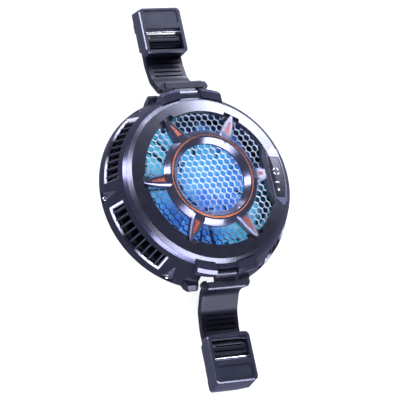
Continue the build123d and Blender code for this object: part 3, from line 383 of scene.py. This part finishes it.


# Moulded wall. The bevels at the foot and the two ends of each window get a pale, faintly glowing
# painted highlight, bright where a cosine of ten times the angle is, and the scoops a paler painted
# highlight: what lies deeper than the leaning wall, close to a scoop's angle. The lower half mirrors
# the upper, so the angle's size is enough.
def ventWall(name, base, light):
    t = Tree(name)
    x, y, z, radius, angle = t.polar()
    angle = angle.abs()
    blend = wall["blend"]
    window, other = [(angle - radians(a)).abs() for a in wall["windowAngles"]]
    past = (window.min(other) - radians(wall["windowHalf"])) * radius
    foot = between(z, wall["footLow"], wall["footHigh"]) * (past < wall["sideWide"])
    foot = foot * between(radius, wall["footInner"], wall["footOuter"])
    side = between(past, -blend, wall["sideWide"])
    side = side * between(z, wall["sillHeight"] - blend, wall["windowTop"])
    # Painted highlight on the bevels, pale and faintly glowing, brighter along a wave round the angle.
    highlightWave = ((angle - radians(wall["brightAngle"])) * wall["brightTurns"] + pi / 2).sin()
    lip = foot.max(side) * highlightWave.band(-0.7, 0.5)
    # Painted highlight in the scoops: a paler colour than the wall.
    first, second, third = [(angle - radians(a)).abs() for a in wall["scoopAngles"]]
    near = first.min(second).min(third) < radians(wall["scoopHalf"])
    depth = (z - wall["sillHeight"]).max(0.0) * (-wall["lean"]) + wall["sillRadius"] - radius
    scoop = depth.band(blend, 3 * blend) * near
    plain = t.mix(scoop, plasticColour(t, base, light), wall["scoop"])
    return t.glossy({
        "Base Color": t.mix(lip, plain, wall["lip"]),
        "Roughness": t.uneven(0.32, plastic["glossScale"], plastic["glossSpread"]),
        "Coat Weight": 0.15, "Coat Roughness": plastic["coatRough"],
        "Emission Color": t.mix(lip, (0, 0, 0), wall["lip"]), "Emission Strength": wall["lipGlow"],
        "Specular IOR Level": plastic["specular"], "Specular Tint": plastic["tint"],
        "Normal": plasticGrain(t)})


louvre = {"railHeight": 5.65 * mm, "shadedRail": (0.001, 0.001, 0.002), "railRough": 0.5, "specular": 0.4}


# Louvre inserts: fins in slate, and the rail below them matt and painted black as shade deep in the windows.
def louvreSlate(name, base, light, rough=0.32):
    t = Tree(name)
    x, y, z = t.xyz()
    shadedRail = z < louvre["railHeight"]
    gloss = t.uneven(rough, plastic["glossScale"], plastic["glossSpread"])
    return t.glossy({
        # Painted shade: the rail is painted near black.
        "Base Color": t.mix(shadedRail, plasticColour(t, base, light, 1.0), louvre["shadedRail"]),
        "Roughness": gloss + shadedRail * louvre["railRough"],
        "Specular IOR Level": louvre["specular"], "Normal": plasticGrain(t)})


wires = {
    "steel": (0.52, 0.58, 0.70), "paleSteel": (0.72, 0.78, 0.90), "shade": (0.05, 0.08, 0.17),
    "sheen": (0.80, 0.88, 1.0), "sheenStrength": 0.20, "shadeEnd": -16 * mm, "sheenEnd": -4 * mm,
}


# Steel wire of the grille: painted shade at the lower left, and pale with a painted sheen toward the key
# side.
def grilleWire(name):
    t = Tree(name)
    x, y, z = t.xyz()
    # Painted shade at the lower left; pale with a painted sheen beyond it.
    side = (x * 0.6 + y * 0.8).band(wires["shadeEnd"], wires["sheenEnd"])
    pale = t.drift(wires["steel"], wires["paleSteel"], 320, 3, 0.3, 0.7)
    return t.glossy({
        "Base Color": t.mix(side, wires["shade"], pale), "Metallic": 0.1,
        "Emission Color": t.mix(side, (0, 0, 0), wires["sheen"]), "Emission Strength": wires["sheenStrength"],
        "Roughness": t.uneven(0.26, 700, 0.1, 3), "Normal": t.bump(t.noise(2400, 2), 0.01 * mm, 0.3)})


slate = ((0.005, 0.005, 0.011), (0.009, 0.010, 0.020))
finishes = {
    "body_plastic": moulded("moulded slate", *slate, 0.32),
    "bezel_plastic": moulded("bezel satin", *slate, 0.34, ior=1.9),
    "trim_metal": moulded("trim paint", (0.05, 0.05, 0.09), (0.08, 0.08, 0.14), 0.22, metal=0.7),
    "grille_steel": grilleWire("grille wire"),
    "spider_gloss": platedRing("ring plating", (0.09, 0.09, 0.14), (0.14, 0.14, 0.21)),
    "accent_orange": doubleLine("orange lines"),
    "inlay_red": hatching("wedge hatching"),
    "panel_satin": moulded("panel paint", (0.14, 0.14, 0.22), (0.20, 0.20, 0.30), 0.28, metal=0.4),
    "key_black": moulded("key gloss", (0.004, 0.004, 0.008), (0.008, 0.008, 0.014), 0.34, coat=0.1),
    "mark_white": moulded("mark print", (0.62, 0.64, 0.74), (0.76, 0.78, 0.88), 0.4, coat=0.1),
    "board_green": moulded("solder mask", (0.010, 0.060, 0.035), (0.016, 0.09, 0.05), 0.3),
    "lamp_white": moulded("lamp package", (0.70, 0.80, 0.90), (0.80, 0.90, 1.0), 0.3),
    "guide_clear": fanGlow("guide glow", 0.9),
    "aluminium_raw": turnedMetal("turned aluminium", (0.60, 0.62, 0.66), (0.74, 0.76, 0.80)),
    "ceramic_white": moulded("ceramic", (0.72, 0.71, 0.68), (0.80, 0.79, 0.76), 0.5, coat=0.0),
    "foam_black": softRubber("cell foam", (0.020, 0.020, 0.024), (0.035, 0.035, 0.040), 0.8),
    "copper_wire": brushedMetal("copper wire", (0.60, 0.28, 0.14), (0.75, 0.38, 0.20), 0.3),
    "steel_bright": brushedMetal("plated steel", (0.62, 0.63, 0.68), (0.80, 0.81, 0.86), 0.18),
    "magnet_grey": moulded("magnet", (0.06, 0.06, 0.065), (0.10, 0.10, 0.11), 0.5, metal=0.7, coat=0.0),
    "fan_plastic": fanGlow("fan glow", 1.15),
    "strap_rubber": softRubber("strap rubber", slate[0], (0.010, 0.010, 0.020), 0.42),
    "buckle_plastic": moulded("buckle satin", (0.009, 0.010, 0.021), (0.016, 0.017, 0.034), 0.32, ior=1.8),
    "pad_rubber": softRubber("pad rubber", (0.015, 0.015, 0.020), (0.028, 0.028, 0.036), 0.6),
}
slotOf = {s["node"]: s["material_slot"] for s in frame["record"]["subparts"]}
for name, node in nodes.items():
    node.data.materials.clear()
    node.data.materials.append(finishes[slotOf[name]])
lugGloss = moulded("lug gloss", (0.03, 0.03, 0.055), (0.05, 0.05, 0.09), 0.24, metal=0.5, ior=1.9)
ownFinishes = {
    "heatsink": fanGlow("sink glow", 1.0), "rear_housing": ventWall("wall slate", *slate),
    "vent_louvres": louvreSlate("louvre slate", (0.02, 0.02, 0.035), (0.04, 0.04, 0.06)),
    "top_lug": lugGloss, "bottom_lug": lugGloss,
}
for name, finish in ownFinishes.items():
    nodes[name].data.materials[0] = finish
print("finishes made:", len(finishes) + len(ownFinishes))


# Rigid pieces: a merged copy of the CAD mesh with rounded edges stands for the node

edges = {"mergeWithin": 0.002 * mm, "flatWithin": 0.5, "sharpFrom": 16, "segments": 2}


# Copy of a node, its facets merged into flat faces and its edges bevelled.
def rounded(name, width):
    body = nodes[name]["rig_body"]
    mesh = bpy.data.meshes.new(name + "_round")
    edit = bmesh.new()
    edit.from_mesh(nodes[name].data)
    bmesh.ops.remove_doubles(edit, verts=edit.verts, dist=edges["mergeWithin"])
    flat = radians(edges["flatWithin"])
    bmesh.ops.dissolve_limit(edit, angle_limit=flat, verts=edit.verts, edges=edit.edges)
    edit.to_mesh(mesh)
    edit.free()
    piece = bpy.data.objects.new(name + "_round", mesh)
    bpy.context.scene.collection.objects.link(piece)
    mesh.materials.clear()
    mesh.materials.append(nodes[name].data.materials[0])
    bevel = piece.modifiers.new("edges", "BEVEL")
    bevel.width = width * mm
    bevel.segments = edges["segments"]
    bevel.limit_method = "ANGLE"
    bevel.angle_limit = radians(edges["sharpFrom"])
    bevel.use_clamp_overlap = True
    mesh.shade_smooth()
    piece.modifiers.new("shading", "WEIGHTED_NORMAL")
    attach(piece, body)
    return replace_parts(piece, name)


grille = {"pitch": 2.1 * mm, "wire": 0.13 * mm, "flatSlack": 0.45 * mm}


# Grille with fine wires: six-sided cells in rows along X, each row shifted by half a pitch and
# root three over two of a pitch from the next. A cell's corners lie a pitch over root three from
# its middle, and its hole's corners are closer by a wire over root three. Only whole cells inside
# the CAD sheet's radius are kept, those at its flat side by the key end on that side's line, and
# a side with no neighbour gets a wall.
def fineGrille():
    flat = np.empty(len(nodes["hex_grille"].data.vertices) * 3)
    nodes["hex_grille"].data.vertices.foreach_get("co", flat)
    points = flat.reshape(-1, 3)
    low, high = points.min(axis=0), points.max(axis=0)
    flatHalf = abs(points[points[:, 0].argmax(), 1])
    atFlat = (np.abs(np.abs(points[:, 1]) - flatHalf) < edges["mergeWithin"]) & (points[:, 0] > 0)
    flatX = points[atFlat, 0].min()
    flatHalf += grille["flatSlack"]
    print("grille's flat side:", round(flatX / mm, 3), round(flatHalf / mm, 3))
    pitch = grille["pitch"]
    cell = pitch / sqrt(3)
    hole = (pitch - grille["wire"]) / sqrt(3)
    reach = -low[0]
    count = int(reach / pitch) + 4
    middles = {}
    for row in range(-count, count + 1):
        for half in range(-2 * count + row % 2, 2 * count, 2):
            x, y = half * pitch / 2, row * pitch * sqrt(3) / 2
            if sqrt(x * x + y * y) + cell < reach and (x < flatX or abs(y) > flatHalf):
                middles[half, row] = (x, y)
    beyond = [(1, 1), (-1, 1), (-2, 0), (-1, -1), (1, -1), (2, 0)]
    angles = [radians(30 + 60 * k) for k in range(6)]
    corners = []
    faces = []
    for (half, row), (x, y) in middles.items():
        first = len(corners)
        for size, z in ((cell, high[2]), (hole, high[2]), (hole, low[2]), (cell, low[2])):
            for angle in angles:
                side, up = x + size * cos(angle), y + size * sin(angle)
                if abs(up) < flatHalf:
                    side = min(side, flatX - grille["wire"] * (size == hole))
                corners.append((side, up, z))
        for k in range(6):
            rings = [(first + 6 * ring + k, first + 6 * ring + (k + 1) % 6) for ring in range(4)]
            alone = (half + beyond[k][0], row + beyond[k][1]) not in middles
            for upper, lower in zip(rings, rings[1:] + rings[:1] * alone):
                faces.append((upper[0], upper[1], lower[1], lower[0]))
    mesh = bpy.data.meshes.new("hex_grille_fine")
    mesh.from_pydata(corners, [], faces)
    edit = bmesh.new()
    edit.from_mesh(mesh)
    bmesh.ops.remove_doubles(edit, verts=edit.verts, dist=edges["mergeWithin"])
    bmesh.ops.recalc_face_normals(edit, faces=edit.faces)
    edit.to_mesh(mesh)
    edit.free()
    mesh.materials.append(nodes["hex_grille"].data.materials[0])
    piece = bpy.data.objects.new("hex_grille_fine", mesh)
    bpy.context.scene.collection.objects.link(piece)
    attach(piece, nodes["hex_grille"]["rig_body"])
    print("grille cells:", len(middles))
    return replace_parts(piece, "hex_grille")


roundWidths = {
    "rear_housing": 0.15, "front_bezel": 0.18, "trim_band": 0.12, "star_spider": 0.10,
    "button_panel": 0.08, "control_key": 0.08, "vent_louvres": 0.06, "top_lug": 0.18,
    "bottom_lug": 0.18, "top_link": 0.16, "bottom_link": 0.16, "top_strap": 0.25,
    "bottom_strap": 0.25, "top_buckle": 0.2, "bottom_buckle": 0.2, "top_strap_loop": 0.15,
    "bottom_strap_loop": 0.15, "accent_ring": 0.04, "spoke_inlays": 0.03, "base_plate": 0.1,
    "cold_plate": 0.1, "usb_socket": 0.05, "housing_screws": 0.05,
}
for name, width in roundWidths.items():
    rounded(name, width)
fineGrille()
print("edges rounded:", len(roundWidths))


# Studio: pale floor under the hooks, soft lights, camera at the photograph's angle

studio = {
    "floorWide": 4.0, "floorGap": 0.02 * mm,
    "floorTone": 0.34, "floorGlow": 0.80, "worldTone": (0.46, 0.48, 0.62), "worldStrength": 0.14,
    "mirroredFloor": (0.30, 0.31, 0.44),
    "cameraPlace": (-0.28118, -0.18323, 0.56624), "lens": 193.06, "sensor": 36,
    "toCamera": (-0.43075, -0.27544, 0.85941), "cameraUp": (0.06532, 0.94027, 0.33410),
}
lampTint = (0.84, 0.85, 1.0)
lamps = {   # direction from the object, distance, width, height, power
    "upperRight": ((0.69, 0.58, 0.44), 0.6, 0.40, 0.30, 4.6),
    "behindTop": ((0.30, 0.92, 0.26), 0.6, 0.70, 0.16, 7.0),
    "belowStrip": ((-0.16, -0.86, 0.42), 0.6, 0.90, 0.20, 9.0),
    "leftStrip": ((-0.80, 0.50, 0.30), 0.6, 0.16, 0.36, 4.0),
}


# Paper that shows white to the camera, a quieter lavender in reflections, and its own tone to
# every other ray, so the part isn't lit from below. The object's shadow falls on the plain part,
# and the paper can't be seen from its underside.
def makeFloor():
    low = cadBox[0][2] - studio["floorGap"]
    wide = studio["floorWide"]
    corners = [(-wide, -wide, low), (wide, -wide, low), (wide, wide, low), (-wide, wide, low)]
    mesh = bpy.data.meshes.new("floor")
    mesh.from_pydata(corners, [], [(0, 1, 2, 3)])
    floor = bpy.data.objects.new("floor", mesh)
    bpy.context.scene.collection.objects.link(floor)
    t = Tree("floor paper")
    path = t.node("ShaderNodeLightPath").out.node.outputs
    seen = Sock(t, path["Is Camera Ray"])
    mirrored = Sock(t, path["Is Glossy Ray"]).max(Sock(t, path["Is Transmission Ray"]))
    tone = studio["floorTone"]
    paper = t.mix(t.noise(60, 2) * 0.04, (tone,) * 3, (tone * 0.97,) * 3)
    plain = t.node("ShaderNodeBsdfDiffuse", None, {"Color": paper})
    white = t.node("ShaderNodeEmission", None, {"Color": (1, 1, 1, 1), "Strength": studio["floorGlow"]})
    shown = t.node("ShaderNodeAddShader", None, {0: plain, 1: white})
    quiet = t.node("ShaderNodeEmission", None, {"Color": (*studio["mirroredFloor"], 1), "Strength": 1.0})
    others = t.node("ShaderNodeMixShader", None, {0: mirrored, 1: plain, 2: quiet})
    above = t.node("ShaderNodeMixShader", None, {0: seen, 1: others, 2: shown})
    clear = t.node("ShaderNodeBsdfTransparent", None, {"Color": (1, 1, 1, 1)})
    below = t.node("ShaderNodeNewGeometry", out="Backfacing")
    mesh.materials.append(t.finish(t.node("ShaderNodeMixShader", None, {0: below, 1: above, 2: clear})))


# Soft area lamps that look at the object's middle from their directions, and a dim room.
def makeLamps():
    for name, (way, far, wide, tall, power) in lamps.items():
        light = bpy.data.lights.new(name, "AREA")
        light.shape = "RECTANGLE"
        light.size, light.size_y, light.energy = wide, tall, power
        light.color = lampTint
        lamp = bpy.data.objects.new(name, light)
        bpy.context.scene.collection.objects.link(lamp)
        way = Vector(way).normalized()
        turn = way.to_track_quat("Z", "Y").to_matrix().to_4x4()
        lamp.matrix_world = Matrix.Translation(way * far) @ turn
    world = bpy.data.worlds.new("soft room")
    world.use_nodes = True
    back = world.node_tree.nodes["Background"]
    back.inputs["Color"].default_value = (*studio["worldTone"], 1)
    back.inputs["Strength"].default_value = studio["worldStrength"]
    bpy.context.scene.world = world


# Camera whose right is its up direction crossed with the direction back from the object.
def makeCamera():
    data = bpy.data.cameras.new("camera")
    data.lens, data.sensor_width = studio["lens"], studio["sensor"]
    camera = bpy.data.objects.new("camera", data)
    bpy.context.scene.collection.objects.link(camera)
    back = Vector(studio["toCamera"]).normalized()
    up = Vector(studio["cameraUp"]).normalized()
    right = up.cross(back)
    turn = Matrix((right, up, back)).transposed().to_4x4()
    camera.matrix_world = Matrix.Translation(studio["cameraPlace"]) @ turn
    bpy.context.scene.camera = camera


makeFloor()
makeLamps()
makeCamera()
bpy.context.scene.view_settings.view_transform = "Standard"
print("studio made")
